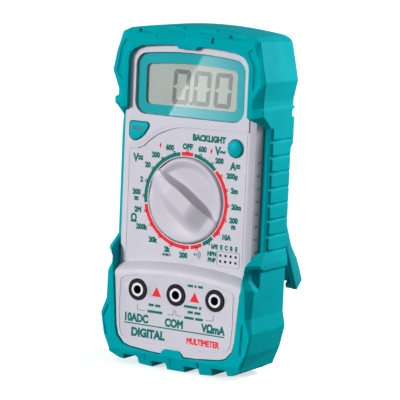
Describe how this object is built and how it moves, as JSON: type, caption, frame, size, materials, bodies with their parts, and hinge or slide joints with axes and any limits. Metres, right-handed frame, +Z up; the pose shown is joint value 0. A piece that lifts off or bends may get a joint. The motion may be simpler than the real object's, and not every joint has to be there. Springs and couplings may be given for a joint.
{
  "type": "digital multimeter",
  "caption": "Handheld digital multimeter in a rubber holster: LCD, turning range dial, two push keys, banana jacks and a folding tilt stand.",
  "frame": {"origin": "on the surface that the foot ribs stand on, at the middle of the meter from side to side, under the middle of its depth", "axes": "+Z up the length of the meter, -Y out of the front panel towards the user, +X to the user's right"},
  "size_m": [0.0744, 0.0521, 0.1458],
  "materials": {
    "holster_rubber": "fine matte moulded thermoplastic rubber, teal",
    "stand_plastic": "fine matte moulded plastic, teal",
    "case_plastic": "fine spark-textured ABS, cool light grey",
    "window_clear": "clear polished acrylic",
    "bezel_plastic": "smooth teal plastic",
    "lcd": "grey-green reflective LCD",
    "black_plastic": "matte black plastic",
    "diffuser": "milky light guide",
    "zebra_rubber": "soft elastomer connector",
    "board": "green solder mask on glass-fibre board",
    "knob_plastic": "fine satin ABS, light grey",
    "brass": "bright brass",
    "socket_metal": "nickel-plated brass",
    "steel": "zinc-plated steel",
    "fuse_glass": "glass tube with metal caps",
    "red_plastic": "smooth red plastic",
    "battery_wrap": "printed metal jacket, dark slate"
  },
  "bodies": {
    "meter": {"holster": "holster_rubber", "front_case": "case_plastic", "rear_case": "case_plastic", "battery_cover": "case_plastic", "transistor_socket": "case_plastic", "display_window": "window_clear", "display_bezel": "bezel_plastic", "lcd_glass": "lcd", "lcd_frame": "black_plastic", "hold_switch": "black_plastic", "backlight_switch": "black_plastic", "jack_insulator_10a": "black_plastic", "jack_insulator_com": "black_plastic", "jack_insulator_vohm": "black_plastic", "chip_blob": "black_plastic", "battery_snap": "black_plastic", "battery_lead_black": "black_plastic", "backlight_panel": "diffuser", "zebra_strip": "zebra_rubber", "circuit_board": "board", "fuse_clip_left": "brass", "fuse_clip_right": "brass", "shunt_wire": "brass", "buzzer": "brass", "jack_socket_10a": "socket_metal", "jack_socket_com": "socket_metal", "jack_socket_vohm": "socket_metal", "case_screw_1": "steel", "case_screw_2": "steel", "case_screw_3": "steel", "case_screw_4": "steel", "board_screw_1": "steel", "board_screw_2": "steel", "board_screw_3": "steel", "cover_screw": "steel", "fuse": "fuse_glass", "trimmer": "red_plastic", "capacitor_1": "red_plastic", "capacitor_2": "red_plastic", "battery_lead_red": "red_plastic", "battery": "battery_wrap"},
    "dial": {"rotary_knob": "knob_plastic", "wiper_contact_1": "brass", "wiper_contact_2": "brass", "wiper_contact_3": "brass", "detent_ball_left": "steel", "detent_ball_right": "steel", "detent_spring_left": "steel", "detent_spring_right": "steel"},
    "hold_key": {"hold_button": "bezel_plastic", "hold_plunger": "black_plastic"},
    "backlight_key": {"backlight_button": "bezel_plastic", "backlight_plunger": "black_plastic"},
    "stand": {"tilt_stand": "stand_plastic"}
  },
  "joints": [
    {"name": "dial_turn", "type": "hinge", "parent": "meter", "child": "dial", "pos_m": [0, -0.011, 0.0725], "axis": [0, 1, 0], "continuous": true},
    {"name": "hold_press", "type": "slide", "parent": "meter", "child": "hold_key", "axis": [0, 1, 0], "range_m": [0, 0.0008], "stiffness_N_per_m": 800},
    {"name": "backlight_press", "type": "slide", "parent": "meter", "child": "backlight_key", "axis": [0, 1, 0], "range_m": [0, 0.0008], "stiffness_N_per_m": 800},
    {"name": "stand_fold", "type": "hinge", "parent": "meter", "child": "stand", "pos_m": [0, 0.011, 0.0765], "axis": [1, 0, 0], "range_deg": [-29, 6]}
  ]
}
